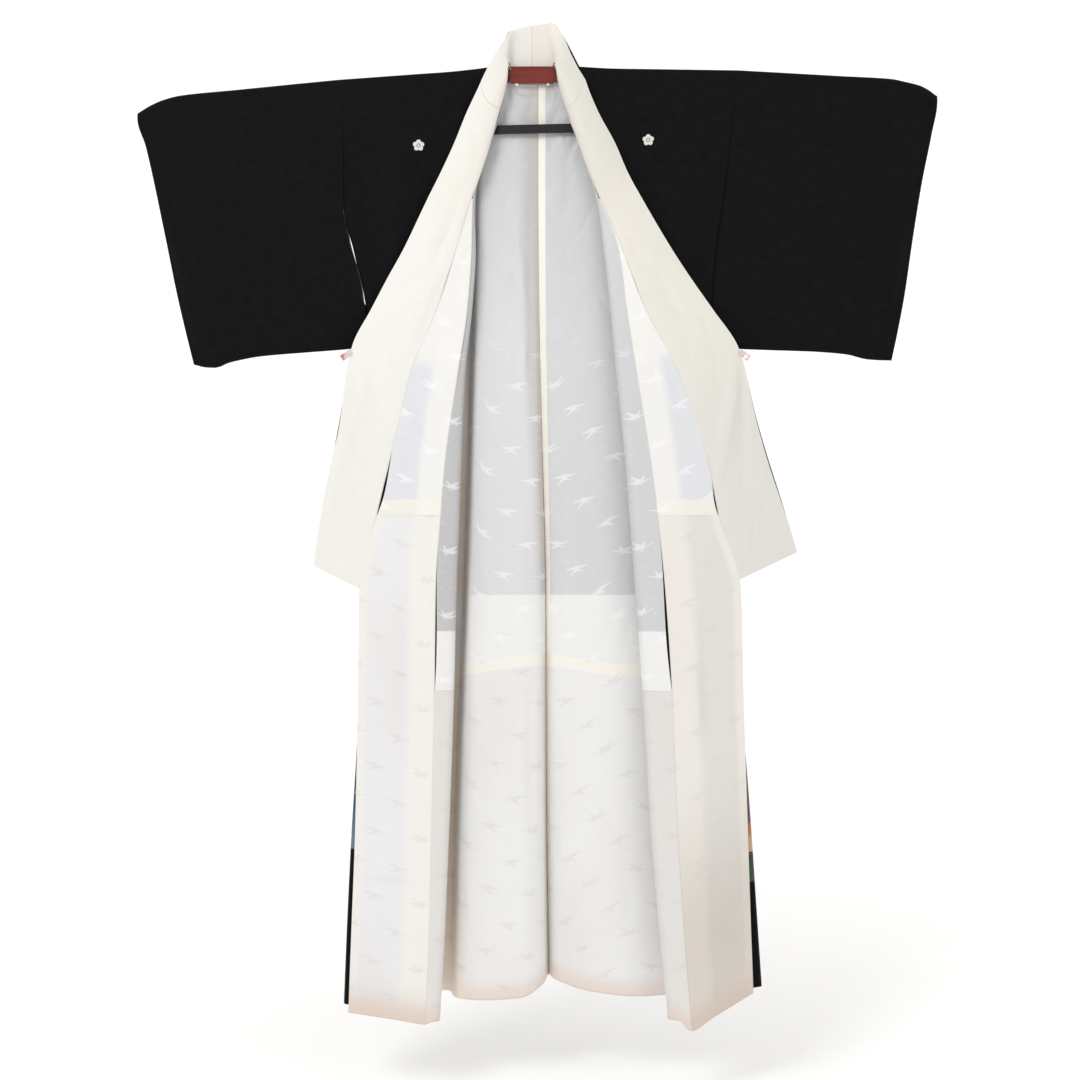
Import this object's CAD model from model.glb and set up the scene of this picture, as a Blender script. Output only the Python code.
import math

import bpy
import numpy as np
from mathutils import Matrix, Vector


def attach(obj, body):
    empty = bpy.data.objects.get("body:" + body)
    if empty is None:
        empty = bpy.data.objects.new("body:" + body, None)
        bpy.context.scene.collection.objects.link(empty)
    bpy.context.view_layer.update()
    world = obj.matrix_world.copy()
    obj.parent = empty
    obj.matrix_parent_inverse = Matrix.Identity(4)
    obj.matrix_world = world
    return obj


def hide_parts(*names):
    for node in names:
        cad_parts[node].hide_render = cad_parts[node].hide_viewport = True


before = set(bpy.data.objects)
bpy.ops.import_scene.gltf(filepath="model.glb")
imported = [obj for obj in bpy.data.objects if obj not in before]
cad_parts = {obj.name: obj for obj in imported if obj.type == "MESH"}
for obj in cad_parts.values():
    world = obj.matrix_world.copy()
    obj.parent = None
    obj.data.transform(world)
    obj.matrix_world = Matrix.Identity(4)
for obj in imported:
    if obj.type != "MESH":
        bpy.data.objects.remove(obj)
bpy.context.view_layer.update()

MM = 0.001

# Cloth in millimetres, as the solids have it.
SHELL = 1.1
LINING = 1.0
LAYER_GAP = 0.3
SHELL_INSET = 0.1
SEAM_GAP = 0.03
CLOTH_OVER_RAIL = 2.8

OKUMI_JOIN = -753
BODY_JOIN = -1005
FRONT_JOIN = -1043
HEM = -1567
JOIN_RISE, JOIN_RISE_TO = 20, 150
LEVELS = [
    -50, -125, -225, -310, -410, -515, -665, OKUMI_JOIN, -875, BODY_JOIN, FRONT_JOIN,
    -1150, -1290, -1430, HEM,
]
CROWN = [(0, 0), (2, 6.2), (9, 8)]
OKUMI_TOP = -225
HEM_SHAPE_FROM = -1000
OPEN_SIDE_TO = -400
SIDE_TURN = 8

FRONT_COLUMNS = "z sideX sideY foldX foldY foldR turn seamX seamY edgeX edgeY".split()
FRONT_ROWS = {"left": [
    [-15, -328, 0, -52, -8, 2.0, 90, -52, -8, -52, -8],
    [-50, -328, 0, -57, -9, 3, 90, -57, -10, -57, -11],
    [-125, -328, 0, -78, -12, 4, 90, -78, -14, -78, -15],
    [-225, -328, 0, -106, -14, 5, 110, -109.5, -19, -111, -20],
    [-310, -308, 0, -105, -15, 5, 180, -111, -22, -135.5, -26],
    [-410, -287.5, 0, -111, -18, 6, 180, -118, -27, -167.5, -31],
    [-515, -282.5, 0, -122.5, -22, 8, 180, -133, -33, -210, -34],
    [-665, -291, 2, -129, -27, 10, 180, -154, -39, -246, -38],
    [-753, -294, 3, -132, -29, 10, 180, -161, -41, -267, -40],
    [-875, -297, 4, -136.5, -31, 11, 180, -169, -44, -296, -40],
    [-1065, -300, 6, -141, -35, 11, 180, -171, -48, -299, -38],
    [-1230, -310, 8, -147, -39, 11, 180, -174.5, -52, -302, -38],
    [-1400, -319, 9, -154, -43, 12, 180, -178, -57, -308, -40],
    [-1567, -326, 10, -163, -47, 12, 180, -185, -61, -314, -42],
], "right": [
    [-15, 331, 0, 31, -8, 2.0, 90, 31, -8, 31, -8],
    [-50, 330, 0, 40, -9, 3, 90, 40, -10, 40, -11],
    [-125, 325, 0, 66.5, -12, 4, 90, 66.5, -14, 66.5, -15],
    [-225, 312.5, 0, 99, -14, 5, 110, 102.5, -19, 104, -20],
    [-310, 302, 0, 110.5, -17, 7, 180, 134, -27, 139.5, -28],
    [-410, 294, 0, 121.5, -21, 8, 180, 147.5, -31, 178, -33],
    [-515, 287.5, 0, 131, -25, 9, 180, 163.5, -36, 232, -37],
    [-665, 300, 2, 146, -30, 10, 180, 187, -42, 282, -41],
    [-753, 309, 3, 153, -32, 11, 180, 198, -45, 299, -42],
    [-875, 328, 4, 162, -35, 11, 180, 210, -49, 336.5, -40],
    [-1065, 341, 6, 175.5, -40, 11, 180, 222, -55, 341.5, -36],
    [-1230, 354, 8, 185, -45, 12, 180, 228, -61, 347, -34],
    [-1400, 365, 9, 199, -51, 13, 180, 238.5, -69, 352, -33],
    [-1567, 376, 10, 215, -58, 14, 180, 251.5, -78, 358, -32],
]}
FRONT_HEM = {
    "left": {"side": -1575, "fold": -1588, "seam": -1592, "edge": -1577},
    "right": {"side": -1546, "fold": -1582, "seam": -1598, "edge": -1547},
}
BACK_LEVELS = [-15, -120, -330, -600, -900, -1230, HEM]
BACK_LINES = {"left": [
    ("neck", -1540, [0, 0, 1, 6, 13, 14, 18], [14, 14, 18, 26, 40, 54, 68]),
    ("neck", -1547, [-14, -8, -6, 0, 5, 6, 9], [14, 13, 13, 14, 18, 24, 34]),
    ("neck", -1566, [-33, -34, -34, -32, -30, -30, -30], [13, 12, 9, 7, 6, 5, 8]),
    ("corner", -1569, [-44, -62, -70, -80, -90, -95, -97], [12, 12, 10, 8, 6, 4, 5]),
    ("shoulder", -1566, [-52, -88, -98, -106, -116, -130, -138], [8, 12, 10, 9, 8, 9, 12]),
    ("shoulder", -1562, [-110, -106, -112, -120, -129, -142, -151], [8, 13, 22, 31, 38, 42, 44]),
    ("shoulder", -1568, [-200, -190, -190, -192, -200, -209, -217], [8, 13, 25, 34, 42, 48, 52]),
    ("shoulder", -1573, [-270, -268, -250, -240, -248, -258, -266], [8, 11, 18, 26, 33, 39, 43]),
], "right": [
    ("neck", -1540, [0, 0, 1, 6, 13, 14, 18], [14, 14, 18, 26, 40, 54, 68]),
    ("neck", -1544, [15, 14, 13, 19, 26, 28, 31], [14, 13, 14, 18, 27, 36, 45]),
    ("corner", -1557, [23, 36, 50, 62, 75, 84, 91], [12, 12, 10, 9, 9, 11, 16]),
    ("shoulder", -1562, [31, 68, 95, 120, 140, 152, 163], [8, 12, 9, 6, 4, 3, 4]),
    ("shoulder", -1560, [100, 118, 140, 168, 188, 203, 216], [8, 13, 12, 10, 8, 7, 8]),
    ("shoulder", -1553, [185, 190, 200, 215, 236, 256, 276], [8, 13, 20, 25, 27, 28, 28]),
    ("shoulder", -1549, [268, 262, 252, 252, 284, 308, 322], [8, 11, 17, 24, 28, 30, 30]),
]}
NECK_TOPS = {"neck": -30.2, "corner": -13}
ARM_TOPS = {
    "left": [(-52, 0), (-110, -9), (-330, -25), (-600, -52)],
    "right": [(31, 0), (95, -6), (340, -9.5), (592, -24)],
}
NECK_POINT = {"left": -52, "right": 31}

COLLAR_ROWS = {"left": [
    [-10, 14.6, -29, -10, 27, 77, 0],
    [-31, 14, -28, -30, 25, 72, 0],
    [-41, 13, -12, -42, 21, 68, 0],
    [-47, 9, 4, -49, 10, 61.5, 2],
    [-49, 0, 7, -56, 2, 48, 3],
    [-50, -9, 3, -72, -6, 20, 3],
    [-52, -12.5, -24, -90, -14, -17, 8],
    [-58, -13, -53, -99, -17, -38, 10],
    [-69, -14.5, -92, -119, -18, -81, 10],
    [-80.5, -16.5, -134, -139.5, -19, -132, 10],
    [-96, -18.5, -183, -162, -20, -181, 9],
], "right": [
    [-10, 14.6, -29, -10, 27, 77, 0],
    [13, 14, -28, 9, 25, 79, 0],
    [20, 13, -12, 22, 21, 80, 0],
    [26, 9, 4, 29.5, 10, 73, 2],
    [28, 0, 7, 42, 2, 53.5, 3],
    [29, -9, 3, 62, -6, 14, 3],
    [34, -12.5, -24, 77, -14, -19, 8],
    [41, -13, -53, 83, -17, -38, 10],
    [53, -14.5, -88, 101, -18, -81, 10],
    [69, -16.5, -134, 128, -19, -131, 10],
    [86, -18.5, -181, 150.5, -20, -183, 9],
]}
CHEST_ROWS = {"left": [
    [-225, -183, -20, -223, 7], [-310, -225, -21, -311, 5], [-360, -252, -22, -360, 3],
    [-410, -278, -23, -410, 3], [-467, -308, -24, -467, 3], [-515, -318.5, -25, -511, 5],
    [-590, -328.5, -24, -582, 5], [-665, -342, -22, -652, 4], [-753, -359, -20, -735, 3],
    [-875, -375, -16, -838, 2],
], "right": [
    [-225, 174, -21, -226, 7], [-310, 224, -22, -311, 5], [-360, 256, -23, -360, 3],
    [-410, 291, -24, -410, 3], [-467, 332, -25, -470, 3], [-515, 345.5, -26, -511, 5],
    [-590, 361, -26, -580, 6], [-665, 382, -25, -654, 6], [-753, 408, -22, -734, 4],
    [-861, 433, -16, -815, 2],
]}
COLLAR_ACROSS = [0, 0.1, 0.25, 0.5, 0.75, 1]

SLEEVES = {"left": {
    "top": [(-328, -22), (-420, -31), (-510, -40), (-600, -49.2), (-630, -57), (-652, -67), (-671, -79)],
    "bottom": [
        (-286, -469), (-330, -474), (-395, -479), (-465, -485), (-520, -496), (-548, -505), (-578, -499),
    ],
    "inner": [(-328, -22), (-328, -130), (-328, -244), (-310, -310), (-293, -386), (-286, -469)],
    "outer": [(-671, -79), (-652, -156), (-630, -257), (-616, -333), (-600, -408), (-578, -499)],
}, "right": {
    "top": [(331, -6.5), (420, -11.4), (510, -16.5), (592, -21.2), (620, -27), (645, -34), (669, -50)],
    "bottom": [(292, -468), (345, -473), (400, -475), (460, -477), (520, -482), (560, -491), (594, -492)],
    "inner": [(331, -6.5), (326, -125), (313.5, -225), (303, -300), (296, -370), (292, -468)],
    "outer": [(669, -50), (655, -140), (636, -232), (623, -333), (611, -408), (594, -492)],
}}
SLEEVE_ALONG = [0, 0.15, 0.32, 0.5, 0.66, 0.8, 0.9, 0.965, 1]
SLEEVE_LINING_TO = 7
SLEEVE_SECTION = [
    (0, 0, 0), (0, 2, 6.2), (0, 9, 8), (0.15, 0, 9), (0.34, 0, 10.5), (0.54, 0, 10.5), (0.74, 0, 9.5),
    (0.89, 0, 8), (0.97, 0, 5), (1, 0, 0),
]
CUFF_SHARE = 0.42
SEWN_DEPTH = 0.14

# How far the crease tables' depths are stretched, the least width of a slit that is drawn, and over how
# many columns.
CREASE_GAIN = 1.4
LEAST_SLIT = 0.05
SLIT_COLUMNS = 4
# The back is raised a little at the neck, over this half width from this middle, to meet the collar.
NECK_RAISE, NECK_HALF, NECK_MIDDLE, NECK_EASE = 3.2, 28, -9, 4
# Where the slit between sleeve and body stands open, and how far their edges lap elsewhere.
FURI_SHOWS = {"left": (-238, -396), "right": (-600, -600)}
FURI_LAP = 1.7

SIDES = {"left": -1, "right": 1}


def smooth(t):
    t = min(1.0, max(0.0, t))
    return t * t * (3 - 2 * t)


def mix(a, b, t):
    return a + (b - a) * t


def slopes_of(at, values):
    """Slopes of a curve through values that never overshoots them."""
    steps = np.diff(values, axis=0) / np.diff(at).reshape((-1,) + (1,) * (values.ndim - 1))
    before, after = steps[:-1], steps[1:]
    total = before + after
    safe = np.where(total == 0, 1, total)
    inner = np.where(before * after > 0, 2 * before * after / safe, 0)
    return np.concatenate([steps[:1], inner, steps[-1:]])


def sampled(at, values, where):
    """Values of that curve at each number in where."""
    at, values, where = np.asarray(at, float), np.asarray(values, float), np.asarray(where, float)
    if at[0] > at[-1]:
        at, values = at[::-1], values[::-1]
    slopes = slopes_of(at, values)
    i = np.clip(np.searchsorted(at, where, side="right") - 1, 0, len(at) - 2)
    span = at[i + 1] - at[i]
    t = np.clip((where - at[i]) / span, 0, 1)
    shape = (-1,) + (1,) * (values.ndim - 1)
    t, span = t.reshape(shape), span.reshape(shape)
    return (
        values[i] * (1 + 2 * t) * (1 - t) ** 2
        + span * slopes[i] * t * (1 - t) ** 2
        + values[i + 1] * t * t * (3 - 2 * t)
        + span * slopes[i + 1] * t * t * (t - 1)
    )


def fitted(points):
    at, values = zip(*points)
    return lambda z: float(sampled(at, values, [z])[0])


def straight(points):
    points = sorted(points)
    return lambda at: float(np.interp(at, [p[0] for p in points], [p[1] for p in points]))


def front_curves(side):
    rows = FRONT_ROWS[side]
    return {
        name: fitted([(row[0], row[k + 1]) for row in rows])
        for k, name in enumerate(FRONT_COLUMNS[1:])
    }


def shoulder_of(side):
    arm = straight(ARM_TOPS[side])
    return lambda x: arm(x) + CLOTH_OVER_RAIL


def open_at(z):
    return SIDE_TURN * smooth((z - OPEN_SIDE_TO) / (OKUMI_TOP - OPEN_SIDE_TO))


def side_turn(x, y, z, sign, towards):
    """The turn at the side seam, from the flat cloth to the edge. towards is +1 at the back."""
    half = mix(0.7 * SIDE_TURN, SIDE_TURN, open_at(z) / SIDE_TURN)
    return [
        (x - sign * 0.9 * SIDE_TURN, y + towards * SIDE_TURN),
        (x - sign * 0.27 * SIDE_TURN, y + towards * half),
        (x, y + towards * max(open_at(z), SEAM_GAP / 2)),
    ]


def body_column(place, top_x, top_z, crowned, hem, facing, rise=0):
    column = []
    for drop, depth in CROWN:
        y = facing * depth if crowned else place(LEVELS[0])[1]
        column.append((top_x, y, top_z - drop))
    for level_z in LEVELS:
        z = level_z + rise if level_z == BODY_JOIN else level_z
        x, y = place(z)
        column.append((x, y, z + smooth((z - HEM_SHAPE_FROM) / (HEM - HEM_SHAPE_FROM)) * (hem - HEM)))
    return column


def back_columns(side):
    sign, at, shoulder = SIDES[side], front_curves(side), shoulder_of(side)
    columns = []
    for top, hem, xs, ys in BACK_LINES[side]:
        curve_x, curve_y = fitted(list(zip(BACK_LEVELS, xs))), fitted(list(zip(BACK_LEVELS, ys)))
        crowned = top == "shoulder"
        top_z = shoulder(xs[0]) if crowned else NECK_TOPS[top]
        rise = JOIN_RISE * min(max(1 - abs(curve_x(BODY_JOIN)) / JOIN_RISE_TO, 0), 1)
        columns.append(body_column(lambda z: (curve_x(z), curve_y(z)), xs[0], top_z, crowned, hem, 1, rise))
    for k in range(3):
        place = lambda z: side_turn(at["sideX"](z), at["sideY"](z), z, sign, 1)[k]
        top_x = place(LEVELS[0])[0]
        columns.append(body_column(place, top_x, shoulder(top_x), True, FRONT_HEM[side]["side"], 1))
    return columns


def front_columns(side):
    """The front's columns from side seam round the fold to the front edge, and where the overlap seam is."""
    sign, at, shoulder, hem = SIDES[side], front_curves(side), shoulder_of(side), FRONT_HEM[side]
    neck = NECK_POINT[side]
    columns = []

    def add(place, top_x, hem_z):
        columns.append(body_column(place, top_x, shoulder(top_x), True, hem_z, -1))

    for k in (2, 1, 0):
        place = lambda z: side_turn(at["sideX"](z), at["sideY"](z), z, sign, -1)[k]
        add(place, place(LEVELS[0])[0], hem["side"])
    for share in (1 / 3, 2 / 3):
        def place(z):
            x0, y0 = side_turn(at["sideX"](z), at["sideY"](z), z, sign, -1)[0]
            radius = at["foldR"](z)
            return mix(x0, at["foldX"](z) + sign * radius, share), mix(y0, at["foldY"](z) + radius, share)
        add(place, mix(at["sideX"](0), neck, share), mix(hem["side"], hem["fold"], share))
    for k in range(5):
        def place(z):
            angle, radius = math.radians(90 - at["turn"](z) * k / 4), at["foldR"](z)
            x = at["foldX"](z) + sign * radius * (1 - math.cos(angle))
            return x, at["foldY"](z) + radius * math.sin(angle)
        add(place, neck + sign * 2 * (5 - k), hem["fold"])
    seam = len(columns)

    def seam_place(z):
        beyond = 1.5 if z > OKUMI_TOP - 1 else 0
        return at["seamX"](z), min(at["seamY"](z), at["foldY"](z) - beyond)
    add(seam_place, neck, hem["seam"])
    for share in (1 / 3, 2 / 3, 1):
        place = lambda z: tuple(mix(at["seam" + a](z), at["edge" + a](z), share) for a in "XY")
        add(place, neck, mix(hem["seam"], hem["edge"], share))
    return columns, seam


def collar_grid(side):
    at = front_curves(side)
    panel_x = straight([(z, at["edgeX"](z)) for z in LEVELS])
    panel_y = straight([(z, at["edgeY"](z)) for z in LEVELS])
    rows = COLLAR_ROWS[side] + [[panel_x(r[0]), panel_y(r[0]), *r] for r in CHEST_ROWS[side]]
    grid = []
    for t in COLLAR_ACROSS:
        column = []
        for row in rows:
            seam, edge, roll = np.array(row[0:3], float), np.array(row[3:6], float), row[6]
            out = mix(seam, edge, 0.12) + (0, -roll, 0)
            over = mix(seam, edge, 0.6) + (0, -0.8 * roll, 0)
            column.append(
                (1 - t) ** 3 * seam + 3 * t * (1 - t) ** 2 * out + 3 * t * t * (1 - t) * over + t**3 * edge
            )
        grid.append(column)
    return np.array(grid)


def sleeve_grid(side):
    """The sleeve as a ring of columns, from the shoulder fold down the front and up the back."""
    edges = SLEEVES[side]

    def edge(name):
        points = np.array(edges[name], float)
        steps = np.linalg.norm(np.diff(points, axis=0), axis=1) ** 0.5
        at = np.concatenate([[0], np.cumsum(steps)])
        even = np.linspace(0, 1, len(points))
        return lambda t: sampled(at, points, [np.interp(t, even, at)])[0]

    top, bottom, inner, outer = (edge(name) for name in ("top", "bottom", "inner", "outer"))

    def plane(along, down):
        rows = mix(top(along), bottom(along), down)
        columns = mix(inner(down), outer(down), along)
        corners = mix(mix(top(0), top(1), along), mix(bottom(0), bottom(1), along), down)
        return rows + columns - corners

    section = [(*row, -1) for row in SLEEVE_SECTION] + [(*row, 1) for row in SLEEVE_SECTION[-2:0:-1]]
    ring = []
    for share, drop, depth, facing in section:
        column = []
        for along in SLEEVE_ALONG:
            x, z = plane(along, share)
            sewn = smooth((share - CUFF_SHARE) / 0.12) * smooth((along - 0.86) / 0.14)
            column.append((x, facing * depth * mix(1, SEWN_DEPTH, sewn), z - drop))
        ring.append(column)
    return np.array(ring, float)


# Sheets of cloth.

def resampled(points, step):
    """points about step apart along the first axis, and where each given one lies in the result."""
    chords = np.linalg.norm(np.diff(points, axis=0), axis=-1)
    lengths = np.maximum(chords.mean(axis=tuple(range(1, chords.ndim))), 1e-3)
    at = np.concatenate([[0], np.cumsum(lengths)])
    counts = np.maximum(1, np.ceil(lengths / step).astype(int))
    where = [np.linspace(at[i], at[i + 1], n, endpoint=False) for i, n in enumerate(counts)]
    marks = np.concatenate([[0], np.cumsum(counts)])
    return sampled(at, points, np.concatenate(where + [[at[-1]]])), marks


class Cloth:
    """A fine grid of points on one sheet, grid[across, down], with normals that face the lining side."""

    def __init__(self, columns, turn, ring=False, across=5.0, down=8.0):
        control = np.array(columns, float)
        if ring:
            control = np.concatenate([control, control[:1]])
        wide, self.columns = resampled(control, across)
        tall, self.rows = resampled(wide.swapaxes(0, 1), down)
        self.grid, self.turn, self.ring = tall.swapaxes(0, 1), turn, ring
        self.find_normals()

    def find_normals(self):
        across, down = np.gradient(self.grid, axis=0), np.gradient(self.grid, axis=1)
        if self.ring:
            across[0] = across[-1] = self.grid[1] - self.grid[-2]
        normals = np.cross(across, down)
        lengths = np.linalg.norm(normals, axis=-1, keepdims=True)
        self.normals = self.turn * normals / np.maximum(lengths, 1e-9)

    def square(self, column):
        """Puts the normals at a side edge and at the shoulder fold in the plane between front and back."""
        top = np.abs(self.normals[:, 0, 2]) > 0.5
        self.normals[top, 0, 1] = 0
        self.normals[column][:, 1] = 0
        self.normals /= np.maximum(np.linalg.norm(self.normals, axis=-1, keepdims=True), 1e-9)

    def crease(self, folds, across=None, rest=()):
        """Raises soft ridges, or sinks troughs, along bent lines in the view from the front.

        Each fold is its width, its depth and the x and z of its points. across limits them to some columns.
        The columns in rest, the outer columns and the top row keep their place."""
        x, z = self.grid[..., 0], self.grid[..., 2]
        lift = np.zeros_like(x)
        for width, depth, *line in folds:
            points = list(zip(line[::2], line[1::2]))
            best, along = np.full_like(x, 1e9), np.zeros_like(x)
            total = sum(math.dist(p, q) for p, q in zip(points, points[1:]))
            done = 0.0
            for (x0, z0), (x1, z1) in zip(points, points[1:]):
                dx, dz = x1 - x0, z1 - z0
                step = math.hypot(dx, dz)
                t = np.clip(((x - x0) * dx + (z - z0) * dz) / step**2, 0, 1)
                away = np.hypot(x - x0 - t * dx, z - z0 - t * dz)
                along = np.where(away < best, (done + t * step) / total, along)
                best = np.minimum(best, away)
                done += step
            ends = np.sin(np.pi * np.clip(along, 0.03, 0.97)) ** 0.6
            lift += CREASE_GAIN * depth * ends * np.exp(-((best / width) ** 2))
        i = np.arange(lift.shape[0], dtype=float)[:, None]
        first, last = (self.columns[k] for k in across) if across else (0, lift.shape[0] - 1)
        inside = np.clip((i - first) / 3, 0, 1) * np.clip((last - i) / 3, 0, 1)
        if self.ring:
            inside = np.ones_like(inside)
        for k in rest:
            inside *= np.clip(np.abs(i - self.columns[k]) / 2, 0, 1)
        j = np.arange(lift.shape[1], dtype=float)[None, :]
        lift *= inside * np.clip(j / 6, 0, 1)
        self.grid = self.grid + self.normals * lift[..., None]
        self.find_normals()

    def lengths(self):
        """How far each point is along the cloth, across and down."""
        across = np.linalg.norm(np.diff(self.grid, axis=0), axis=-1)
        down = np.linalg.norm(np.diff(self.grid, axis=1), axis=-1)
        u = np.concatenate([np.zeros((1, across.shape[1])), np.cumsum(across, axis=0)])
        v = np.concatenate([np.zeros((down.shape[0], 1)), np.cumsum(down, axis=1)], axis=1)
        return u, v

    def part(self, across=None, down=None, slits=()):
        """The grid, normals and lengths between two of the given columns and two of the given rows.

        Each slit draws the first (0) or last (-1) column in between two heights, most at their lower end."""
        a, b = (self.columns[k] for k in across) if across else (0, len(self.grid) - 1)
        c, d = (self.rows[k] for k in down) if down else (0, self.grid.shape[1] - 1)
        u, v = self.lengths()
        window = np.s_[a : b + 1, c : d + 1]
        grid, u, v = self.grid[window].copy(), u[window], v[window]
        if not self.ring:
            for end, inner in ((0, 1), (-1, -2)):
                step = grid[inner] - grid[end]
                grid[end] += step * (SEAM_GAP / np.linalg.norm(step, axis=-1, keepdims=True))
        for end, high, low, wide in slits:
            z = grid[end, :, 2]
            t = np.clip((high - z) / (high - low), 0, 1)
            open_by = wide * np.sin(np.pi * t**1.6) * ((z < high) & (z > low))
            drawn = np.arange(SLIT_COLUMNS) if end == 0 else len(grid) - 1 - np.arange(SLIT_COLUMNS)
            old = grid[drawn].copy()
            for j in np.flatnonzero(open_by > LEAST_SLIT):
                line = old[:, j]
                at = np.concatenate([[0], np.cumsum(np.linalg.norm(np.diff(line, axis=0), axis=-1))])
                new = np.linspace(min(open_by[j], 0.8 * at[-1]), at[-1], SLIT_COLUMNS)
                grid[drawn, j] = np.stack([np.interp(new, at, line[:, k]) for k in range(3)], axis=1)
        first, last = u - u[:1], u[-1:] - u
        return grid, self.normals[window], u, v, first, last, v - v[:, :1], v[:, -1:] - v


def add_object(name, data):
    added = bpy.data.objects.new(name, data)
    bpy.context.scene.collection.objects.link(added)
    return added


def wall(name, part, low, high, ring=False):
    """A closed sheet between two offsets of a part of a cloth."""
    grid, normals, u, v, first, last, head, foot = part
    wide, tall = grid.shape[0], grid.shape[1]
    own = wide - 1 if ring else wide
    points = np.concatenate([(grid + normals * offset)[:own].reshape(-1, 3) for offset in (low, high)]) * MM
    i, j = (a.ravel() for a in np.meshgrid(np.arange(wide - 1), np.arange(tall - 1), indexing="ij"))
    quads = [
        [(1, i, j), (1, i + 1, j), (1, i + 1, j + 1), (1, i, j + 1)],
        [(0, i, j), (0, i, j + 1), (0, i + 1, j + 1), (0, i + 1, j)],
    ]
    k, top, end = np.arange(wide - 1), np.zeros(wide - 1, int), np.full(wide - 1, tall - 1)
    quads.append([(0, k, top), (0, k + 1, top), (1, k + 1, top), (1, k, top)])
    quads.append([(1, k, end), (1, k + 1, end), (0, k + 1, end), (0, k, end)])
    if not ring:
        k, near, far = np.arange(tall - 1), np.zeros(tall - 1, int), np.full(tall - 1, wide - 1)
        quads.append([(0, near, k), (1, near, k), (1, near, k + 1), (0, near, k + 1)])
        quads.append([(1, far, k), (0, far, k), (0, far, k + 1), (1, far, k + 1)])
    faces = np.concatenate([
        np.stack([(layer * own + a % own) * tall + b for layer, a, b in quad], axis=1) for quad in quads
    ])
    spots = np.concatenate([np.stack([a * tall + b for _, a, b in quad], axis=1) for quad in quads]).ravel()
    corners = points[faces]
    volume = np.einsum("ij,ij->i", corners[:, 0], np.cross(corners[:, 1], corners[:, 2])).sum()
    volume += np.einsum("ij,ij->i", corners[:, 0], np.cross(corners[:, 2], corners[:, 3])).sum()
    if volume < 0:
        faces, spots = faces[:, ::-1], spots.reshape(-1, 4)[:, ::-1].ravel()
    mesh = bpy.data.meshes.new(name)
    mesh.vertices.add(len(points))
    mesh.vertices.foreach_set("co", points.ravel())
    mesh.loops.add(faces.size)
    mesh.loops.foreach_set("vertex_index", faces.ravel())
    mesh.polygons.add(len(faces))
    mesh.polygons.foreach_set("loop_start", np.arange(0, faces.size, 4))
    mesh.polygons.foreach_set("use_smooth", np.ones(len(faces), bool))
    mesh.update(calc_edges=True)
    for layer, (a, b) in {"cloth": (u, -v), "near": (first, foot), "far": (last, head)}.items():
        values = np.stack([a.ravel()[spots], b.ravel()[spots]], axis=1) * MM
        mesh.uv_layers.new(name=layer).data.foreach_set("uv", values.ravel())
    mesh.set_sharp_from_angle(angle=math.radians(50))
    return add_object(name, mesh)


def put_on(piece, material, node):
    piece.data.materials.append(material)
    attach(piece, "root")
    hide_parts(node)


def sew(node, part, material, inner=False, ring=False):
    """One cut piece of cloth, in the place of its solid. flat is its cut width and length in metres."""
    low, high = (LAYER_GAP, LAYER_GAP + LINING) if inner else (-SHELL, 0)
    low, high = low - SHELL_INSET, high - SHELL_INSET
    piece = wall(f"cloth_{node}", part, low, high, ring)
    put_on(piece, material, node)


# Materials.

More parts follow.
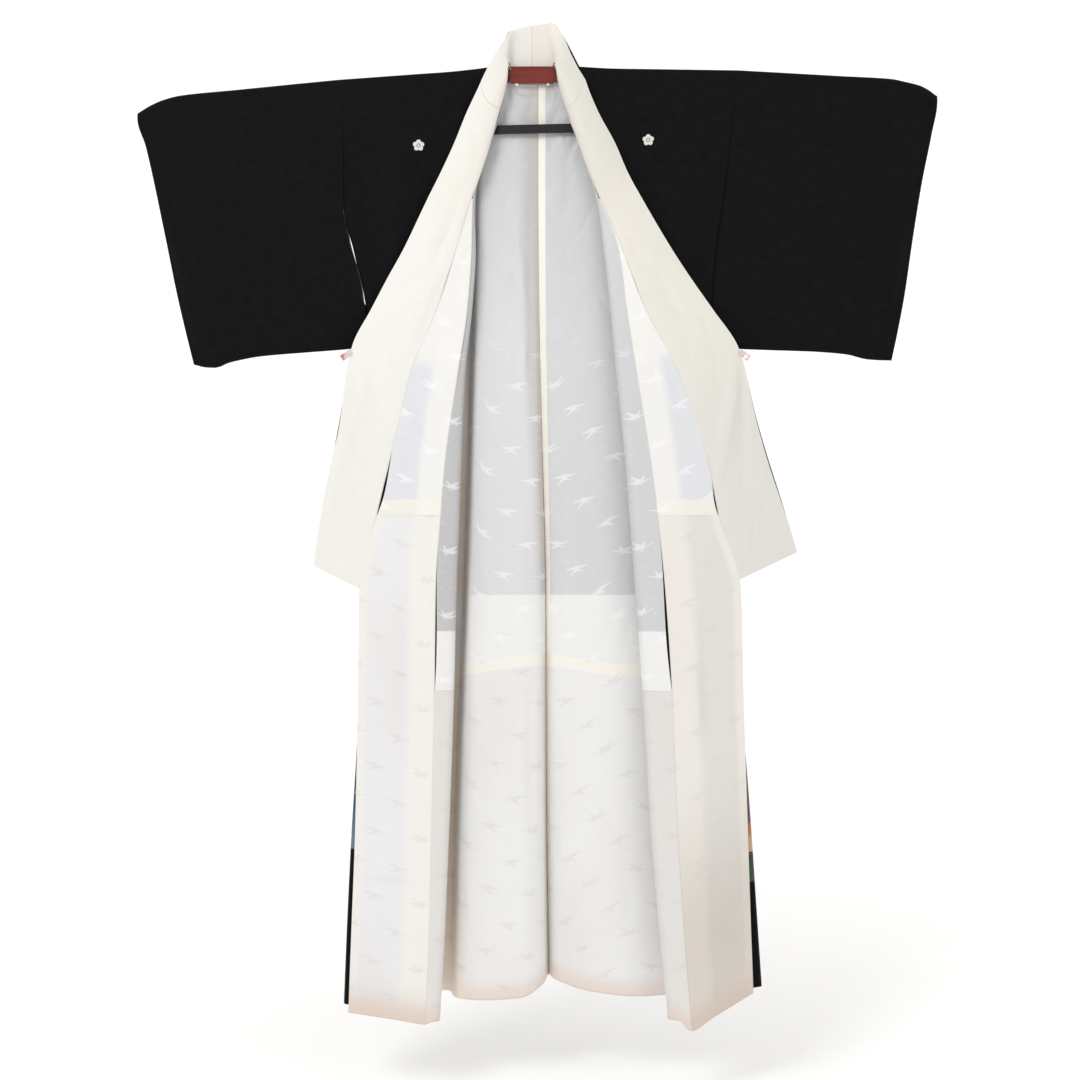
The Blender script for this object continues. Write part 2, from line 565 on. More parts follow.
class Look:
    """A material on one principled shader, and short ways to write its nodes."""

    def __init__(self, name, **values):
        self.material = bpy.data.materials.new(name)
        self.material.use_nodes = True
        self.nodes, self.links = self.material.node_tree.nodes, self.material.node_tree.links
        self.shader = self.nodes["Principled BSDF"]
        for socket, value in values.items():
            self.shader.inputs[socket.replace("_", " ")].default_value = value

    def plug(self, socket, value):
        if isinstance(value, bpy.types.NodeSocket):
            self.links.new(value, socket)
        else:
            socket.default_value = value

    def node(self, kind, inputs, output=0, **settings):
        node = self.nodes.new(kind)
        for name, value in settings.items():
            setattr(node, name, value)
        for key, value in inputs.items():
            self.plug(node.inputs[key], value)
        return node.outputs[output]

    def math(self, operation, a, b=0.0, c=0.0, clamp=False):
        return self.node("ShaderNodeMath", {0: a, 1: b, 2: c}, operation=operation, use_clamp=clamp)

    def times(self, a, b):
        return self.math("MULTIPLY", a, b)

    def plus(self, a, b):
        return self.math("ADD", a, b)

    def minus(self, a, b):
        return self.math("SUBTRACT", a, b)

    def size(self, a):
        return self.math("ABSOLUTE", a)

    def vector(self, operation, a, b=(0, 0, 0), output=0):
        return self.node("ShaderNodeVectorMath", {0: a, 1: b}, output, operation=operation)

    def scaled(self, a, factor):
        return self.node("ShaderNodeVectorMath", {0: a, "Scale": factor}, operation="SCALE")

    def split(self, a):
        node = self.nodes.new("ShaderNodeSeparateXYZ")
        self.plug(node.inputs[0], a)
        return node.outputs[0], node.outputs[1], node.outputs[2]

    def joined(self, x, y, z=0.0):
        return self.node("ShaderNodeCombineXYZ", {0: x, 1: y, 2: z})

    def ramp(self, value, low, high, start=0.0, stop=1.0):
        inputs = {"Value": value, "From Min": low, "From Max": high, "To Min": start, "To Max": stop}
        return self.node("ShaderNodeMapRange", inputs, interpolation_type="SMOOTHSTEP")

    def mix(self, factor, a, b):
        inputs = {0: factor, 6: a, 7: b}
        return self.node("ShaderNodeMix", inputs, 2, data_type="RGBA")

    def noise(self, where, scale, detail=2.0):
        return self.node("ShaderNodeTexNoise", {"Vector": where, "Scale": scale, "Detail": detail})

    def uv(self, layer):
        return self.node("ShaderNodeUVMap", {}, uv_map=layer)

    def place(self):
        return self.node("ShaderNodeTexCoord", {}, 3)

    def stroke(self, p, a, b, start, end):
        """Distance from p to a tapered line from a to b."""
        along = (b[0] - a[0], b[1] - a[1], 0)
        length = along[0] ** 2 + along[1] ** 2
        away = self.vector("SUBTRACT", p, (a[0], a[1], 0))
        t = self.math("DIVIDE", self.vector("DOT_PRODUCT", away, along, 1), length, clamp=True)
        near = self.vector("SUBTRACT", away, self.scaled(along, t))
        radius = self.math("MULTIPLY_ADD", t, end - start, start)
        return self.minus(self.vector("LENGTH", near, output=1), radius)

    def nearest(self, distances):
        found = distances[0]
        for distance in distances[1:]:
            found = self.math("MINIMUM", found, distance)
        return found

    def bricks(self, x, y, wide, tall):
        """The column and row in a brick pattern, whether the row is odd, and the place in the brick."""
        row = self.math("FLOOR", self.math("DIVIDE", y, tall))
        odd = self.math("FLOORED_MODULO", row, 2)
        shifted = self.math("MULTIPLY_ADD", odd, wide / 2, x)
        column = self.math("FLOOR", self.math("DIVIDE", shifted, wide))
        across = self.math("MULTIPLY_ADD", self.plus(column, 0.5), -wide, shifted)
        up = self.math("MULTIPLY_ADD", self.plus(row, 0.5), -tall, y)
        return column, row, odd, self.joined(across, up)

    def paint(self, colour):
        self.plug(self.shader.inputs["Base Color"], colour)

    def bump(self, **inputs):
        return self.node("ShaderNodeBump", inputs)


def white(*rgb):
    """A colour given as it looks on a screen, from 0 to 255."""
    return tuple(((c / 255 + 0.055) / 1.055) ** 2.4 if c > 10 else c / 3294.6 for c in rgb) + (1.0,)


# Two flying cranes and the lines of mist between them, as tapered strokes: start, end and half widths.
CRANES = [
    [((-21, 1.5), (-6, -1), 0.5, 1.1), ((-6, -1), (8, -1.5), 2.2, 2.0), ((0, 0), (13, 11), 3.4, 0.8),
     ((-2, 0), (-9, 8), 2.8, 0.7), ((4, -1), (21, 3), 2.2, 0.5), ((2, -2), (-5, -8), 0.9, 0.3)],
    [((-4, 3), (3, -3), 2.2, 1.6), ((-2, 2), (-20, 0.5), 3.0, 0.5), ((0, 1), (17, 3.4), 2.8, 0.4),
     ((0, -1), (-8, -10), 3.2, 0.8), ((3, -2), (14, -5.5), 0.9, 0.4)],
]
MIST = [
    ((-34, 18), (-14, 19), 0.5, 0.2), ((6, -19), (27, -17.6), 0.5, 0.2),
    ((-30, -10), (-19, -9.4), 0.55, 0.2), ((19, 17), (33, 17.8), 0.45, 0.2),
    ((-22, -21), (-6, -20.6), 0.4, 0.2), ((24, -8), (36, -7.4), 0.5, 0.2),
]
FIGURE_CELL = (76.0, 53.5)


def figure(look, cloth):
    """How much of the woven figure, flying cranes among lines of mist, shows at a point of the cloth."""
    in_mm = look.scaled(cloth, 1000)
    x, y, _ = look.split(in_mm)
    column, _, odd, local = look.bricks(x, y, *FIGURE_CELL)
    line = look.math("MULTIPLY_ADD", column, 2, look.times(odd, -1))
    chance = look.node("ShaderNodeTexWhiteNoise", {"Vector": look.joined(line, 3.7)})
    kind = look.math("GREATER_THAN", chance, 0.45)
    facing = look.math("SIGN", look.minus(look.math("FRACT", look.times(chance, 7.0)), 0.5))
    mirrored = look.vector("MULTIPLY", local, look.joined(facing, 1, 1))
    turn = {"Vector": mirrored, "Angle": look.times(chance, 0.35)}
    tilted = look.node("ShaderNodeVectorRotate", turn, rotation_type="Z_AXIS")
    rough = look.noise(in_mm, 0.5, 1.0)
    tilted = look.vector("ADD", tilted, look.scaled(look.joined(rough, look.minus(1, rough)), 3.0))
    first, second = (look.nearest([look.stroke(tilted, *stroke) for stroke in crane]) for crane in CRANES)
    crane = look.math("MULTIPLY_ADD", look.minus(second, first), kind, first)
    mist = look.nearest([look.stroke(local, *stroke) for stroke in MIST])
    return look.math("MAXIMUM", look.ramp(crane, 0.9, -0.9), look.ramp(mist, 0.6, -0.5, 0, 0.6))


THREAD_HEIGHT, WRINKLE_HEIGHT = 0.0003, 0.0017


def weave(look, cloth, scale, strength, wrinkled=None):
    """Fine threads across and along the cloth, and where asked for soft wrinkles, as bump."""
    threads = look.noise(look.vector("MULTIPLY", cloth, (1, 0.06, 1)), scale, 1.0)
    crossing = look.noise(look.vector("MULTIPLY", cloth, (0.06, 1, 1)), scale, 1.0)
    inputs = {"Strength": strength, "Distance": THREAD_HEIGHT, "Height": look.plus(threads, crossing)}
    if wrinkled is not None:
        sway = look.joined(look.noise(cloth, 9), look.noise(cloth, 14))
        bent = look.vector("ADD", cloth, look.scaled(sway, 0.06))
        uneven = look.noise(look.vector("MULTIPLY", bent, (1, 0.6, 1)), 17, 0.0)
        ridge = look.size(look.minus(uneven, 0.5))
        height = look.times(look.ramp(ridge, 0.0, 0.15), wrinkled)
        inputs["Normal"] = look.bump(Strength=1.0, Distance=WRINKLE_HEIGHT, Height=height)
    look.plug(look.shader.inputs["Normal"], look.bump(**inputs))


# Zones named "level" are measured up from this far under the hanger, in metres.
LEVEL_ZERO = 1.1
CREAM = (248, 244, 232)
PEACH = (226, 204, 188)
PATCH = (214, 206, 196)


def zoned(look, colour, zones):
    """Bands of colour along the edges of a cut piece.

    Each zone is the edge it is measured from, where it starts and ends in mm, how soft its sides are, its
    colour and its strength."""
    near, foot, _ = look.split(look.uv("near"))
    far, head, _ = look.split(look.uv("far"))
    _, _, z = look.split(look.place())
    edges = {"near": near, "far": far, "head": head, "foot": foot, "level": look.plus(z, LEVEL_ZERO)}
    for edge, start, stop, soft, tint, strength in zones:
        at = edges[edge]
        inside = look.ramp(at, (stop + soft) * MM, (stop - soft) * MM, 0, strength)
        if start > 0:
            inside = look.times(inside, look.ramp(at, (start - soft) * MM, (start + soft) * MM))
        colour = look.mix(inside, colour, white(*tint))
    return colour


def lining_look(name, ground, line, amount, zones=(), shown_below=None, crumpled=None):
    """Figured satin with its seam bands. shown_below is the height over which the figure fades in.

    crumpled is the height from which the cloth gets more wrinkled upwards, and where it is most so."""
    look = Look(name, Roughness=0.44, Sheen_Weight=0.2, Sheen_Roughness=0.4, Specular_IOR_Level=0.32)
    cloth = look.uv("cloth")
    shown = figure(look, cloth)
    if shown_below:
        _, _, z = look.split(look.place())
        shown = look.times(shown, look.ramp(z, shown_below[0] * MM, shown_below[1] * MM, 0.12, 1))
    colour = white(*ground)
    patches = look.noise(look.vector("MULTIPLY", cloth, (1, 0.3, 1)), 8, 2.0)
    colour = look.mix(look.ramp(patches, 0.4, 0.8, 0, 0.22), colour, white(*PATCH))
    colour = zoned(look, colour, zones)
    colour = look.mix(look.times(shown, amount), colour, white(*line))
    look.paint(colour)
    wrinkled = 0.3
    if crumpled:
        _, _, z = look.split(look.place())
        wrinkled = look.ramp(z, crumpled[0] * MM, crumpled[1] * MM, 0.3, 1)
    weave(look, cloth, 900, 0.22, wrinkled)
    return look.material


def blossom(look, p, size):
    """How much of a five-petalled blossom of that radius shows at p, measured from its middle."""
    x, y, _ = look.split(p)
    r = look.math("SQRT", look.plus(look.times(x, x), look.times(y, y)))
    fifth = math.pi / 5
    turn = look.math("WRAP", look.math("ARCTAN2", x, y), fifth, -fifth)
    across = look.times(r, look.math("SINE", turn))
    out = look.minus(look.times(r, look.math("COSINE", turn)), 0.56 * size)
    petal = look.vector("LENGTH", look.joined(across, out), output=1)
    outer = look.ramp(petal, 0.43 * size, 0.38 * size)
    ring = look.ramp(look.size(look.minus(r, 0.27 * size)), 0.03 * size, 0.07 * size)
    core = look.ramp(r, 0.27 * size, 0.24 * size)
    return look.times(look.math("MAXIMUM", outer, core), ring)


def black_look(name, crests=(), picture=False):
    """Black crepe, with white blossoms where the crests go and a painted hem where there is a picture."""
    look = Look(name, Roughness=0.85, Sheen_Weight=0.03, Sheen_Roughness=0.5, Specular_IOR_Level=0.12)
    place = look.place()
    x, y, z = look.split(place)
    front = look.joined(look.times(x, 1000), look.times(z, 1000))
    cloth = look.uv("cloth")
    grain = look.noise(cloth, 60, 3.0)
    colour = look.mix(look.ramp(grain, 0.3, 0.7), white(11, 11, 13), white(15, 15, 17))
    if picture:
        colour = painted(look, front, colour)
    for cx, cz, behind in crests:
        mark = blossom(look, look.vector("SUBTRACT", front, (cx, cz, 0)), 10.0)
        if behind:
            mark = look.times(mark, look.ramp(y, 0.0005, 0.001))
        colour = look.mix(mark, colour, white(222, 220, 214))
    look.paint(colour)
    weave(look, cloth, 1400, 0.35)
    return look.material


# The painted hem: bands of mist, each from one place to another, with its half height and its colour, and
# whether its upper side fades far out or little.
FAR, LITTLE = 0.25, 0.8
BANDS = [
    ((-420, -1130), (-150, -1150), 40, (40, 48, 60), FAR),
    ((-420, -1210), (-120, -1228), 52, (66, 84, 104), FAR),
    ((-420, -1276), (-190, -1284), 36, (104, 128, 148), FAR),
    ((-110, -1300), (90, -1322), 30, (78, 92, 104), FAR),
    ((-180, -1400), (-20, -1408), 24, (54, 66, 82), FAR),
    ((250, -1160), (430, -1150), 40, (44, 56, 40), FAR),
    ((210, -1215), (430, -1205), 34, (86, 96, 62), FAR),
    ((230, -1262), (430, -1252), 18, (122, 84, 112), LITTLE),
    ((150, -1292), (430, -1280), 15, (190, 134, 84), LITTLE),
    ((170, -1318), (430, -1300), 15, (206, 178, 152), LITTLE),
    ((120, -1350), (430, -1342), 28, (70, 84, 74), LITTLE),
    ((20, -1430), (230, -1440), 24, (96, 84, 56), FAR),
]


FLOWER_CELL = 74.0


def painted(look, front, colour):
    """The black cloth's colour with the mist bands and the flowers in them. front is the place in mm."""
    x, z, _ = look.split(front)
    every = []
    for a, b, half, tint, fade in BANDS:
        away = look.stroke(front, a, b, half, half * 0.85)
        every.append(away)
        over = look.ramp(z, min(a[1], b[1]) - 0.2 * half, max(a[1], b[1]) + half, 1, fade)
        colour = look.mix(look.times(look.ramp(away, 1.5, -1.5), over), colour, white(*tint))
    band = look.nearest(every)
    line = look.ramp(look.size(look.plus(band, 3)), 0.8, 0.3, 0, 0.5)
    colour = look.mix(line, colour, white(150, 132, 92))
    column, row, _, local = look.bricks(x, z, FLOWER_CELL, FLOWER_CELL)
    chance = look.node("ShaderNodeTexWhiteNoise", {"Vector": look.joined(column, row, 0.5)})
    nudged = look.vector("ADD", local, look.joined(look.math("MULTIPLY_ADD", chance, 24, -12), 0))
    flower = look.times(blossom(look, nudged, 13.0), look.ramp(band, 2, -2))
    petals = look.mix(look.ramp(chance, 0.3, 0.7), white(214, 204, 184), white(176, 104, 72))
    return look.mix(flower, colour, petals)


def collar_look(name, tint, zones):
    """The collar's warmer figured silk with its seam bands."""
    look = Look(name, Roughness=0.5, Sheen_Weight=0.15, Sheen_Roughness=0.4, Specular_IOR_Level=0.3)
    cloth = look.uv("cloth")
    shown = figure(look, cloth)
    patches = look.noise(look.vector("MULTIPLY", cloth, (1, 0.25, 1)), 7, 2.0)
    colour = look.mix(look.ramp(patches, 0.4, 0.75, 0, 0.3), white(*tint), white(238, 228, 212))
    colour = zoned(look, colour, zones)
    colour = look.mix(look.times(shown, 0.22), colour, white(232, 228, 218))
    look.paint(colour)
    weave(look, cloth, 900, 0.22, 0.45)
    return look.material


def plain_look(name, base, deep, scale, **values):
    """A smooth hard surface of two near colours in fine streaks along X."""
    look = Look(name, **values)
    place = look.place()
    streaks = look.noise(look.vector("MULTIPLY", place, (0.12, 1, 1)), scale, 4.0)
    look.paint(look.mix(look.ramp(streaks, 0.3, 0.7), white(*base), white(*deep)))
    grain = look.bump(Strength=0.15, Distance=0.0002, Height=streaks)
    look.plug(look.shader.inputs["Normal"], grain)
    return look.material


# The garment.

def level(z):
    """The row of the tables that lies at height z."""
    return len(CROWN) + LEVELS.index(z)


BLACK_FRONT = black_look("black_front", [(-200, -133.6, False), (184.8, -124.3, False)], True)
BLACK_BACK = black_look("black_back", [(2, -88, False)], True)
BLACK_PLAIN = black_look("black_plain")
BLACK_SLEEVE = black_look("black_sleeve", [(-500, -118, True), (500, -94, True)])
# The upper linings look grey over the black cloth, and paler where white cloth backs them.
GREY_LINES = ((250, 250, 252), 0.5)
WHITE_LINES = ((212, 207, 200), 0.3)
FIGURE_FADES = (-430, -560)
NECK_WRINKLES = (-330, -90)
BACKED = ("foot", 0, 98, 2, (242, 242, 240), 0.85)
BACK_BACKED = ("level", 0, 213, 2, (242, 242, 240), 0.85)
BACK_HEAD = ("head", 0, 300, 180, (204, 204, 205), 0.7)
NECK_STRIP = ("head", 0, 3.2, 0.8, CREAM, 0.9)
JOIN_STRIP = ("head", 0, 20, 1, CREAM, 0.8)
HEM_TINTS = [("foot", 0, 22, 20, PEACH, 0.62), ("foot", 0, 2, 1.5, (206, 178, 160), 0.5)]
BACK_UPPER_ZONES = {"left": [
    BACK_HEAD, ("far", 144, 300, 6, (252, 238, 222), 0.9), ("far", 0, 24, 14, (188, 182, 174), 0.65),
    BACK_BACKED, NECK_STRIP, ("far", 0, 1.2, 0.6, (150, 140, 128), 0.6),
], "right": [
    BACK_HEAD, BACK_BACKED, ("near", 0, 12.5, 0.8, CREAM, 0.95), NECK_STRIP,
    ("near", 0, 1.0, 0.5, (176, 164, 146), 0.5),
]}
BACK_LOWER_ZONES = {
    "left": [("far", 186, 330, 16, (254, 240, 224), 0.9), ("far", 0, 22, 12, (206, 198, 188), 0.45)],
    "right": [("near", 0, 12.5, 1, (246, 238, 222), 0.7), ("near", 0, 1.2, 0.6, (180, 160, 138), 0.6)],
}
BACK_GROUNDS = {"left": (222, 223, 225), "right": (214, 215, 217)}
FRONT_GROUNDS = {"left": (194, 194, 195), "right": (208, 209, 211)}
BACK_UPPER, BACK_LOWER, FRONT_UPPER = {}, {}, {}
for side in SIDES:
    zones = BACK_UPPER_ZONES[side]
    BACK_UPPER[side] = lining_look(
        f"back_upper_{side}", BACK_GROUNDS[side], *GREY_LINES, zones, FIGURE_FADES, NECK_WRINKLES)
    zones = [JOIN_STRIP, *HEM_TINTS, *BACK_LOWER_ZONES[side]]
    BACK_LOWER[side] = lining_look(f"back_lower_{side}", (238, 238, 238), *WHITE_LINES, zones)
    FRONT_UPPER[side] = lining_look(
        f"front_upper_{side}", FRONT_GROUNDS[side], *GREY_LINES, [BACKED], FIGURE_FADES)
FRONT_LOWER = lining_look("front_lower", (226, 224, 221), *WHITE_LINES, [
    ("head", 0, 1.6, 0.8, (214, 206, 194), 0.6), *HEM_TINTS])
PANEL_UPPER = lining_look("panel_upper", (224, 226, 230), *GREY_LINES, [
    ("near", 0, 42, 8, (241, 240, 236), 0.85), ("head", 0, 288, 16, (241, 240, 236), 0.85),
    ("foot", 0, 26, 1.5, (244, 240, 228), 0.65), ("near", 0, 1.2, 0.6, (208, 202, 192), 0.5)])
PANEL_TINTS = [
    ("near", 0, 46, 10, (244, 239, 230), 0.55), ("far", 0, 14, 5, (243, 238, 229), 0.5), *HEM_TINTS,
    ("foot", 0, 40, 34, (214, 194, 180), 0.45), ("near", 0, 1.2, 0.6, (210, 198, 184), 0.5),
    ("head", 0, 1.6, 0.8, (226, 216, 196), 0.6)]
PANEL_SHADE = ("foot", 20, 230, 220, (182, 166, 150), 0.62)
PANEL_LOWER = {
    "left": lining_look("panel_lower_left", (234, 234, 235), *WHITE_LINES, PANEL_TINTS),
    "right": lining_look("panel_lower_right", (224, 222, 219), *WHITE_LINES, [*PANEL_TINTS, PANEL_SHADE]),
}
COLLAR_ZONES = [
    ("near", 0, 1.6, 0.8, (206, 194, 176), 0.5), ("head", 155, 157, 1, (206, 200, 186), 0.6),
    ("head", 0, 1.4, 1, (216, 208, 196), 0.5)]
COLLAR = {
    "left": collar_look("collar_left", (238, 237, 232), [
        ("foot", 0, 290, 110, (234, 233, 227), 0.85), ("head", 0, 60, 40, (230, 228, 222), 0.5),
        *COLLAR_ZONES]),
    "right": collar_look("collar_right", (231, 229, 220), [
        ("foot", 0, 320, 120, (219, 218, 213), 0.7), ("head", 60, 330, 60, (222, 219, 209), 0.7),
        ("head", 6, 44, 16, (234, 222, 210), 0.3), *COLLAR_ZONES]),
}
SLEEVE_WHITE = lining_look("sleeve_white", (240, 236, 226), (226, 220, 208), 0.3)

# Soft folds of the cloth: the width and depth of each, then x and z of its points seen from the front.
BACK_FOLDS = [
    (4.5, 2.2, -34, -258, -35, -289, -29, -326), (5, 2.4, -57, -336, -47, -359, -35, -385),
    (4.5, 2.2, -25, -326, -27, -364, -20, -407), (4.5, 2.4, -20, -461, -25, -491, -24, -521),
    (5, 1.8, -42, -477, -46, -499, -40, -525), (7, -2.6, -14, -215, -15, -330, -12, -470, -9, -640),
    (4.5, 1.8, 12, -461, 30, -454, 57, -449), (6, 1.6, 37, -373, 62, -383, 88, -376),
    (5, -2.4, -42, -62, -27, -76, -13, -88), (5, 2.2, -49, -79, -30, -91),
    (5, -2.6, 9, -50, 24, -42, 42, -36), (5, 2.2, 12, -68, 30, -60, 47, -63),
    (5, 2.4, 37, -113, 44, -131), (5, -2.2, 24, -117, 19, -136), (5, 2.2, 57, -113, 48, -128),
    (5.5, 2.6, 62, -1383, 84, -1370, 116, -1360), (5, 2.4, 41, -1331, 51, -1344, 74, -1353),
    (5, 1.8, 101, -1321, 147, -1319, 192, -1323), (5, 2.0, 41, -1124, 41, -1161),
    (5, 2.2, 43, -1290, 42, -1331), (7, -2.4, -13, -1040, -14, -1150, -11, -1290),
    (5, 2.4, -84, -1486, -69, -1495, -57, -1502), (4.5, -2.0, -80, -1474, -62, -1484),
    (6, 2.2, 84, -1490, 105, -1500, 128, -1501), (6, 2.0, 37, -1444, 57, -1452, 88, -1456),
    (16, 2.2, -85, -640, -88, -820, -82, -980), (20, -2.4, 70, -560, 78, -760, 84, -1010),
    (18, 2.0, -60, -1100, -66, -1250, -62, -1400), (22, 4.0, -232, -180, -222, -420, -216, -760),
    (14, -2.6, -290, -140, -262, -330, -270, -560), (16, -3.0, -170, -240, -168, -520, -178, -900),
    (20, 3.6, -246, -980, -262, -1240, -284, -1500), (20, 3.6, 226, -170, 218, -400, 232, -800),
    (13, -2.6, 282, -130, 266, -320, 272, -600), (15, -2.6, 158, -260, 170, -560, 196, -980),
    (20, 3.2, 268, -900, 292, -1200, 318, -1500),
]
FRONT_FOLDS = {"left": [
    (4, 1.8, -304, -1356, -253, -1359, -176, -1369), (4, -1.2, -304, -1350, -253, -1352, -176, -1361),
    (15, 2.2, -252, -790, -246, -960, -254, -1180), (13, -2.4, -216, -840, -212, -1020, -218, -1240),
    (12, 2.0, -272, -1120, -270, -1260, -276, -1330), (9, 2.0, -196, -1400, -190, -1457, -196, -1530),
    (14, -1.8, -244, -1400, -248, -1460, -256, -1540), (9, 1.8, -232, -560, -214, -600, -186, -650),
], "right": [
    (4, 3.0, 233, -1354, 276, -1344, 346, -1334), (4, -1.4, 233, -1347, 276, -1337, 346, -1327),
    (11, 4.6, 250, -1150, 262, -1060, 254, -980), (14, -2.6, 284, -1126, 272, -1040, 280, -930),
    (13, 2.2, 318, -900, 312, -1060, 322, -1250), (12, 2.6, 262, -1399, 270, -1473, 276, -1556),
    (14, -2.4, 306, -1370, 312, -1450, 326, -1540), (6, 2.0, 166, -492, 190, -497, 222, -506),
    (6, -1.8, 168, -506, 194, -512, 226, -523), (7, 2.2, 204, -512, 218, -541, 224, -570),
]}
SHOULDER_FOLDS = {"left": [
    (13, -2.6, -120, -60, -128, -150, -150, -250), (16, 2.4, -168, -50, -176, -160, -190, -300),
    (18, -2.8, -232, -60, -236, -200, -240, -380), (13, 2.4, -292, -80, -290, -220, -272, -400),
    (20, 3.0, -236, -620, -232, -900, -240, -1300), (16, -2.6, -188, -540, -190, -860, -200, -1240),
], "right": [
    (13, -2.6, 98, -50, 112, -140, 140, -230), (15, 2.4, 160, -44, 172, -150, 188, -290),
    (17, -2.8, 226, -50, 230, -190, 236, -360), (13, 2.2, 288, -70, 284, -210, 270, -380),
    (20, 3.0, 252, -640, 262, -960, 286, -1320), (16, -2.6, 206, -560, 214, -900, 236, -1260),
]}
COLLAR_FOLDS = {"left": [
    (13, 4.6, -290, -500, -302, -562, -330, -678, -348, -795),
    (9, -1.8, -276, -490, -274, -562, -292, -678), (10, 3.0, -163, -345, -190, -405, -210, -462),
    (8, -1.6, -132, -230, -152, -287, -178, -336),
], "right": [
    (12, 5.4, 331, -488, 322, -562, 312, -628, 298, -711), (10, -2.2, 344, -500, 342, -600, 334, -700),
    (5, 2.0, 348, -790, 344, -812, 338, -836), (5, -1.8, 362, -772, 352, -800),
    (5, 1.8, 372, -762, 360, -792), (6, 2.0, 186, -330, 200, -319, 212, -312),
    (9, -1.8, 250, -440, 222, -398, 200, -345),
]}
# Slits where a lining stands off its seam and shows the black cloth: which edge, from, to and how wide.
SEAM_SLITS = {"left": [(-1, -792, -1050, 2.6)], "right": [(-1, -772, -1046, 4.2)]}
PANEL_SLITS = {"left": [(-1, -640, -757, 4.2)], "right": [(-1, -690, -757, 2.6)]}
COLLAR_SLITS = {"left": [(-1, -540, -650, 2.0)], "right": [(-1, 64, -26, 5.0), (-1, -488, -770, 2.4)]}


def sew_lined(name, side, cloth, across, top, join, looks, cuts, slits=()):
    """One black piece, with its upper and its hem lining that meet at join. cuts are the three cut sizes."""
    foot, meet = level(HEM), level(join)
    layers = (
        (name, (top, foot), "black_silk", False, ()),
        (f"{name}_lining", (top, meet), "upper_lining", True, slits),
        (f"{name}_hem_lining", (meet, foot), "hem_lining", True, ()),
    )
    for (node, rows, slot, inner, drawn), look, cut in zip(layers, looks, cuts):
        part = cloth.part(across, rows, drawn)
        sew(f"{node}_{side}", part, look, inner)


def make_back():
    left = back_columns("left")[::-1]
    cloth = Cloth(left + back_columns("right")[1:], -1)
    centre, last = len(left) - 1, len(cloth.columns) - 1
    cloth.crease(BACK_FOLDS, (2, last - 2), (centre,))
    from_middle = np.abs(cloth.grid[:, 0, 0] - NECK_MIDDLE)
    cloth.grid[:, 0, 2] += NECK_RAISE * np.clip((NECK_HALF - from_middle) / NECK_EASE, 0, 1)
    cloth.square(0)
    cloth.square(-1)
    cuts = ((0.36, 1.57), (0.36, 1.0), (0.38, 0.57))
    for side, across in (("left", (0, centre)), ("right", (centre, last))):
        looks = (BLACK_BACK, BACK_UPPER[side], BACK_LOWER[side])
        sew_lined("back", side, cloth, across, 0, BODY_JOIN, looks, cuts)


def make_front(side):
    columns, seam = front_columns(side)
    cloth = Cloth(columns, -SIDES[side])
    last = len(columns) - 1
    cloth.crease(SHOULDER_FOLDS[side], (2, 5))
    cloth.crease(FRONT_FOLDS[side], (seam, last))
    cloth.square(0)
    low = cloth.grid[-1, :, 2] < OKUMI_TOP
    cloth.normals[-1, low] = (0, -1, 0)
    looks, cuts = (BLACK_FRONT, FRONT_UPPER[side], FRONT_LOWER), ((0.28, 1.58), (0.28, 1.04), (0.25, 0.54))
    sew_lined("front", side, cloth, (0, seam), 0, FRONT_JOIN, looks, cuts, SEAM_SLITS[side])
    looks, cuts = (BLACK_FRONT, PANEL_UPPER, PANEL_LOWER[side]), ((0.14, 1.36), (0.1, 0.53), (0.14, 0.84))
    top = level(OKUMI_TOP)
    sew_lined("overlap", side, cloth, (seam, last), top, OKUMI_JOIN, looks, cuts, PANEL_SLITS[side])


def make_collar(side):
    cloth = Cloth(collar_grid(side), -SIDES[side], across=4.0)
    cloth.crease(COLLAR_FOLDS[side], rest=(0,))
    cloth.normals[:, 0, 0] = 0
    low = cloth.grid[0, :, 2] < OKUMI_TOP
    cloth.normals[0, low] = (0, -1, 0)
    sew(f"collar_{side}", cloth.part(), BLACK_PLAIN)
    lined = cloth.part(slits=COLLAR_SLITS[side])
    sew(f"collar_lining_{side}", lined, COLLAR[side], True)


def make_sleeve(side):
    sign = SIDES[side]
    cloth = Cloth(sleeve_grid(side), -sign, ring=True)
    last = len(SLEEVE_ALONG) - 1
    whole, lined = cloth.part(down=(0, last)), cloth.part(down=(0, SLEEVE_LINING_TO))
    edge = whole[0][:, 0]
    open_from, open_to = FURI_SHOWS[side]
    edge[(edge[:, 2] > open_from) | (edge[:, 2] < open_to), 0] -= sign * FURI_LAP
    sew(f"sleeve_{side}", whole, BLACK_SLEEVE, ring=True)
    sew(f"sleeve_lining_{side}", lined, SLEEVE_WHITE, True, True)


make_back()
for side in SIDES:
    make_front(side)
    make_collar(side)
    make_sleeve(side)


def rounded(node, material, bevel):
    """A copy of a hard solid with its edges rounded, in its place."""
    piece = add_object(f"shaped_{node}", bpy.data.objects[node].data.copy())
    piece.data.materials.clear()
    soften = piece.modifiers.new("edges", "BEVEL")
    soften.width, soften.segments, soften.limit_method = bevel * MM, 3, "ANGLE"
    piece.modifiers.new("shade", "WEIGHTED_NORMAL")
    for face in piece.data.polygons:
        face.use_smooth = True
    put_on(piece, material, node)


WOOD = plain_look("rail_lacquer", (122, 48, 36), (104, 38, 28), 90, Roughness=0.5, Specular_IOR_Level=0.25)
BAR = plain_look("bar_black", (24, 25, 27), (19, 20, 22), 60, Roughness=0.5, Specular_IOR_Level=0.3)


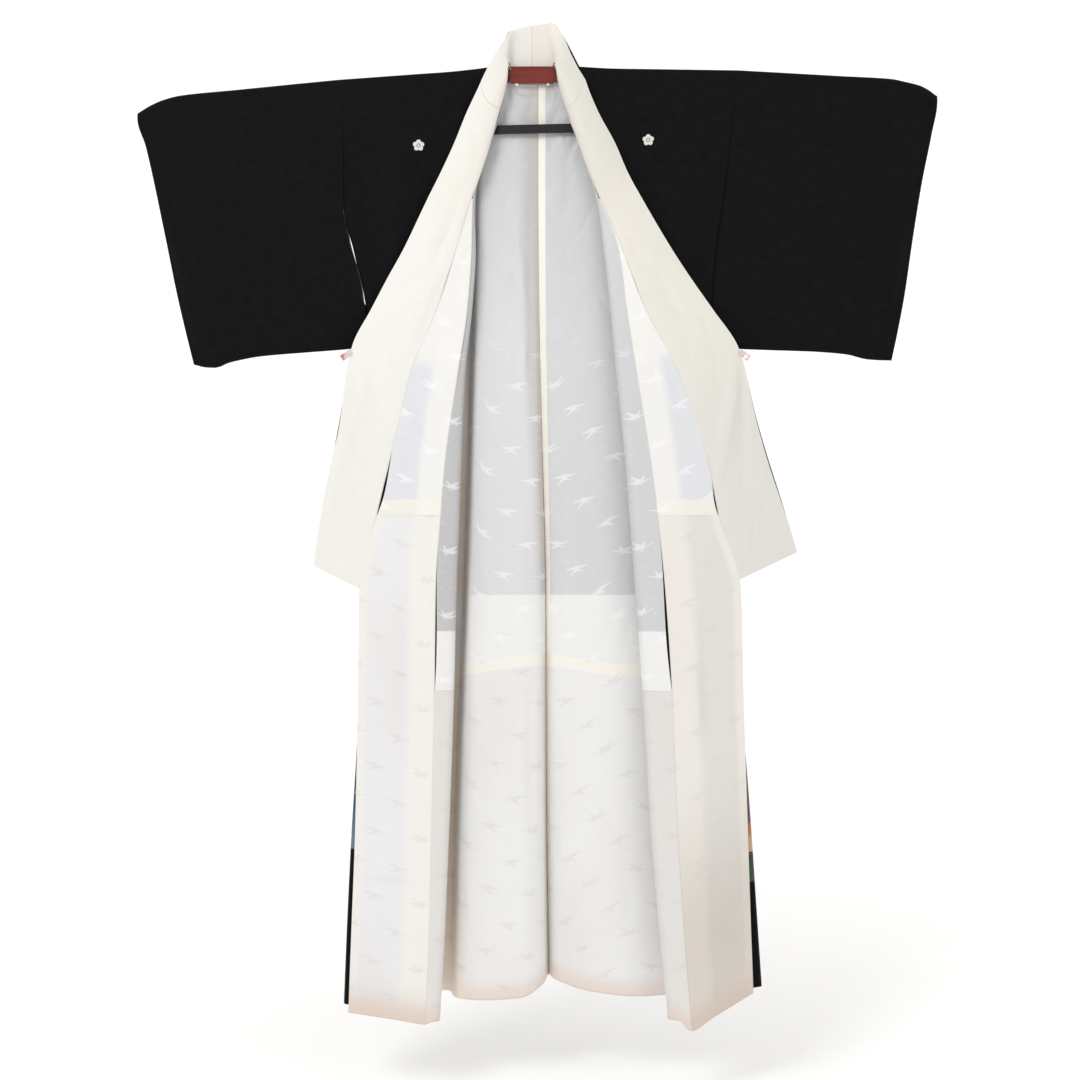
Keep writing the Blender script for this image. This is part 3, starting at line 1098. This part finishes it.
def clip_look(name, bend):
    """Clear plastic at the jaw and pink at the tab, from bend mm off the middle outwards."""
    look = Look(name, Roughness=0.25, Coat_Weight=0.4)
    x, _, _ = look.split(look.place())
    out = look.ramp(look.size(x), (bend - 2) * MM, (bend + 2) * MM)
    look.paint(look.mix(out, white(216, 206, 204), white(218, 128, 128)))
    return look.material


for node in ("rail_block", "rail_arm_left", "rail_arm_right"):
    rounded(node, WOOD, 1.2)
rounded("sash_bar", BAR, 1.0)
rounded("clip_left", clip_look("clip_pink_left", 322), 0.5)
rounded("clip_right", clip_look("clip_pink_right", 347), 0.5)


# Floor, light and camera, in metres.

FLOOR_HALF, FLOOR_Z, BEND_Y, BEND_RADIUS, WALL_TOP = 9.0, -1.72, 2.6, 1.6, 5.0


def make_backdrop():
    """A pale floor that curves up into a wall."""
    angles = np.linspace(0, math.pi / 2, 13)
    bend = [(BEND_Y + BEND_RADIUS * math.sin(a), FLOOR_Z + BEND_RADIUS * (1 - math.cos(a))) for a in angles]
    profile = [(-FLOOR_HALF, bend[0][1])] + bend + [(bend[-1][0], WALL_TOP)]
    corners = [(x, y, z) for y, z in profile for x in (-FLOOR_HALF, FLOOR_HALF)]
    faces = [(2 * i, 2 * i + 1, 2 * i + 3, 2 * i + 2) for i in range(len(profile) - 1)]
    mesh = bpy.data.meshes.new("floor")
    mesh.from_pydata(corners, [], faces)
    mesh.polygons.foreach_set("use_smooth", np.ones(len(faces), bool))
    floor = add_object("floor", mesh)
    look = Look("floor_pale", Roughness=0.9)
    speckle = look.noise(look.place(), 3, 2.0)
    look.paint(look.mix(speckle, white(250, 250, 250), white(253, 253, 253)))
    mesh.materials.append(look.material)


def add_area_light(name, spot, aim, size, power, colour=(1, 1, 1)):
    data = bpy.data.lights.new(name, "AREA")
    data.shape, data.size, data.energy, data.color = "SQUARE", size, power, colour
    lamp = add_object(name, data)
    lamp.location = spot
    lamp.rotation_euler = (Vector(aim) - Vector(spot)).to_track_quat("-Z", "Y").to_euler()


make_backdrop()
add_area_light("key", (-1.4, -2.8, 1.0), (0, 0, -0.75), 1.2, 46, (0.985, 0.99, 1))
add_area_light("fill", (2.4, -2.6, -0.2), (0, 0, -0.8), 2.4, 18)
for side, sign in SIDES.items():
    add_area_light(f"wall_{side}", (sign * 3.4, 0.9, 1.6), (sign * 0.8, 4.2, -0.6), 2.2, 70)
world = bpy.data.worlds.new("studio")
world.use_nodes = True
background = world.node_tree.nodes["Background"].inputs
background["Color"].default_value = (1, 0.98, 0.958, 1)
background["Strength"].default_value = 0.545
bpy.context.scene.world = world
bpy.context.scene.view_settings.view_transform = "Standard"

# The view is this wide at the hanger, from this far in front of it.
VIEW_WIDTH, DISTANCE, SENSOR = 1.8144, 3.0, 36
camera_data = bpy.data.cameras.new("camera")
camera_data.sensor_width = SENSOR
camera_data.lens = SENSOR * DISTANCE / VIEW_WIDTH
camera = add_object("camera", camera_data)
camera.location = (0.0034, -DISTANCE, -0.7946)
camera.rotation_euler = (math.pi / 2, 0, 0)
bpy.context.scene.camera = camera
